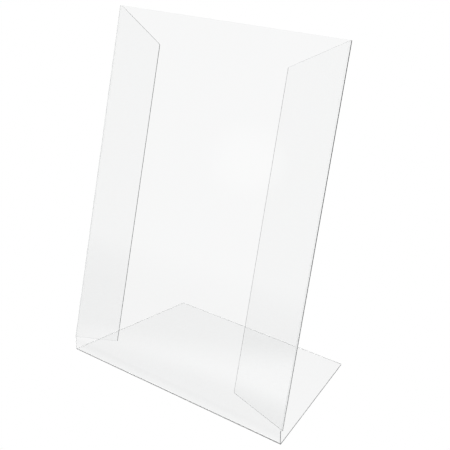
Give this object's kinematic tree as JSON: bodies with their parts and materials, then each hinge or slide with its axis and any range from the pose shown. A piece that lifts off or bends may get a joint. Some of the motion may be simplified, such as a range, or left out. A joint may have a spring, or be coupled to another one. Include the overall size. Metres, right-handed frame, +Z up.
{
  "type": "countertop sneeze guard",
  "caption": "Clear countertop sneeze guard: a tall panel leans back over its own base plate, with a wing folded flat behind each side edge on a living hinge.",
  "frame": {"origin": "on the counter, in the middle of the guard's footprint", "axes": "+X to the right seen from the front, +Y to the back, the way the panel leans, +Z up"},
  "size_m": [0.61, 0.339, 0.812],
  "materials": {
    "clear_sheet": "clear, polished on both faces and along the cut edges",
    "clear_hinge": "clear, thinned so that it flexes"
  },
  "bodies": {
    "stand": {"base_plate": "clear_sheet", "base_bend": "clear_sheet", "toe_strip": "clear_sheet", "front_panel": "clear_sheet", "left_living_hinge": "clear_hinge", "right_living_hinge": "clear_hinge"},
    "left_wing_body": {"left_wing": "clear_sheet"},
    "right_wing_body": {"right_wing": "clear_sheet"}
  },
  "joints": [
    {"name": "left_wing_fold", "type": "hinge", "parent": "stand", "child": "left_wing_body", "pos_m": [-0.305, -0.06417, 0.42149], "axis": [0, 0.2521, 0.9677], "range_deg": [0, 180], "deforming": ["left_living_hinge"]},
    {"name": "right_wing_fold", "type": "hinge", "parent": "stand", "child": "right_wing_body", "pos_m": [0.305, -0.06417, 0.42149], "axis": [0, -0.2521, -0.9677], "range_deg": [0, 180], "deforming": ["right_living_hinge"]}
  ]
}
